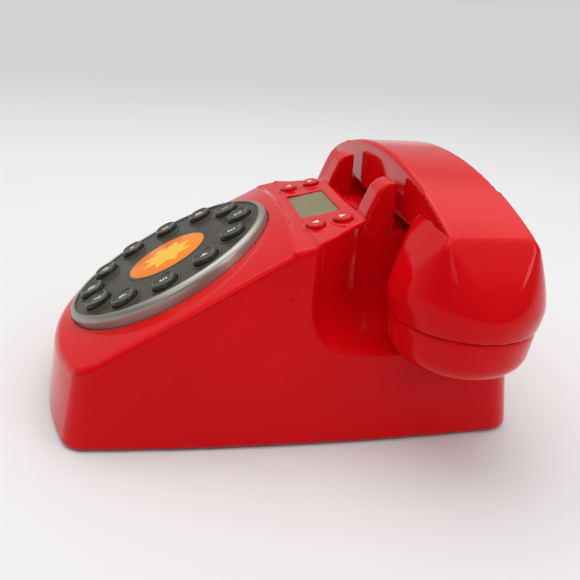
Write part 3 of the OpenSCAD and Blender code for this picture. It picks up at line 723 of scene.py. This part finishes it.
# ---------------------------------------------------------------- finishes of the carried-over nodes
FINISH = {
    "dial_disc": CHARCOAL, "dial_label": CHARCOAL, "key_mat": SILICONE, "button_mat": SILICONE,
    "keypad_board": BOARD, "display_board": BOARD, "main_board": BOARD, "display_window": LCD,
    "display_module": MODULE, "hook_plunger_left": RED, "hook_plunger_right": RED, "hook_switch": BLACK,
    "ringer_speaker": SPEAKER, "ringer_switch": BLACK, "line_jack": IVORY, "handset_jack": IVORY,
    "handset_socket": IVORY, "handset_cover": RED, "receiver_capsule": SPEAKER,
    "microphone_capsule": SPEAKER, "handset_weight": STEEL, "handset_screws": STEEL,
    "housing_screws": STEEL, "ballast_plate": STEEL, "battery_cells": CELL, "battery_door": RED_BASE,
    "base_plate": RED_BASE,
}
for name, obj in nodes.items():
    if name.startswith("foot_"):
        paint(obj, RUBBER)
    elif name in FINISH:
        paint(obj, FINISH[name])

# ---------------------------------------------------------------- stage, light and camera
floor_mesh = bpy.data.meshes.new("floor")
rim_turns = [2 * math.pi * i / FLOOR_SIDES for i in range(FLOOR_SIDES)]
floor_mesh.from_pydata([(FLOOR_R * math.cos(t), FLOOR_R * math.sin(t), 0) for t in rim_turns], [],
                       [tuple(range(FLOOR_SIDES))])
floor = linked("floor", floor_mesh)
floor_material, _, floor_shader = new_material("pale floor")
floor_shader.inputs["Base Color"].default_value = (0.7, 0.7, 0.7, 1)
floor_shader.inputs["Roughness"].default_value = 0.75
floor_shader.inputs["Specular IOR Level"].default_value = 0.2
paint(floor, floor_material)

world = bpy.data.worlds.new("studio")
scene.world = world
world.use_nodes = True
tree = world.node_tree
coords = tree.nodes.new("ShaderNodeTexCoord")
parts = tree.nodes.new("ShaderNodeSeparateXYZ")
tree.links.new(coords.outputs["Generated"], parts.inputs["Vector"])


def sky(stops):
    """Grey of the studio by the height of the direction, from (height, grey) stops."""
    node = tree.nodes.new("ShaderNodeValToRGB")
    elements = node.color_ramp.elements
    while len(elements) < len(stops):
        elements.new(0.5)
    for element, (position, grey) in zip(elements, stops):
        element.position = position
        element.color = (grey, grey, grey, 1)
    tree.links.new(parts.outputs["Z"], node.inputs["Fac"])
    return node.outputs["Color"]


behind = sky([(0.0, 0.65), (0.06, 0.65), (0.16, 0.42), (0.5, 0.42), (0.7, 1.25)])
before = sky([(0.0, 0.15), (0.5, 0.35), (0.7, 1.25)])
toward = tree.nodes.new("ShaderNodeMapRange")
toward.inputs["From Min"].default_value = -0.35
toward.inputs["From Max"].default_value = 0.35
tree.links.new(parts.outputs["X"], toward.inputs["Value"])
level = tree.nodes.new("ShaderNodeMix")
level.data_type = "RGBA"
tree.links.new(toward.outputs["Result"], level.inputs[0])
tree.links.new(behind, level.inputs[6])
tree.links.new(before, level.inputs[7])
tree.links.new(level.outputs[2], tree.nodes["Background"].inputs["Color"])


def softbox(name, position, target, size, power, tone=(1, 1, 1)):
    """Rectangular lamp at position, facing target; metres and watts."""
    light = bpy.data.lights.new(name, "AREA")
    light.shape = "RECTANGLE"
    light.size, light.size_y = size
    light.energy = power
    light.color = tone
    obj = linked(name, light)
    obj.location = position
    obj.rotation_euler = (Vector(target) - Vector(position)).to_track_quat("-Z", "Y").to_euler()


softbox("ceiling", (-0.25, -0.1, 1.3), (0, 0, 0.05), (1.3, 1.1), 6.5)
softbox("window", (0.75, 0.95, 0.75), (0.05, 0.05, 0.08), (0.25, 0.5), 1.8, (0.93, 0.95, 1.0))
softbox("room window", (1.1, -0.55, 0.75), (0, 0, 0.05), (0.35, 0.6), 1.0, (1.0, 0.97, 0.93))


def camera_matrix(yaw, pitch, roll, position):
    """Yaw 0 looks along +Y and turns left, pitch looks down; degrees and millimetres."""
    y, p, r = (math.radians(a) for a in (yaw, pitch, roll))
    right = Vector((math.cos(y), math.sin(y), 0))
    forward = Vector((-math.sin(y) * math.cos(p), math.cos(y) * math.cos(p), -math.sin(p)))
    up = right.cross(forward)
    across = math.cos(r) * right + math.sin(r) * up
    above = math.cos(r) * up - math.sin(r) * right
    m = Matrix((across, above, -forward)).transposed().to_4x4()
    m.translation = Vector(position) * MM
    return m


camera = bpy.data.cameras.new("camera")
camera.sensor_width = SENSOR_MM
camera.lens = LENS_MM
camera.clip_start = 0.01
camera_object = linked("camera", camera)
camera_object.matrix_world = camera_matrix(*CAMERA_ANGLES, CAMERA_PLACE)
scene.camera = camera_object
scene.view_settings.view_transform = "Standard"

bpy.context.view_layer.update()
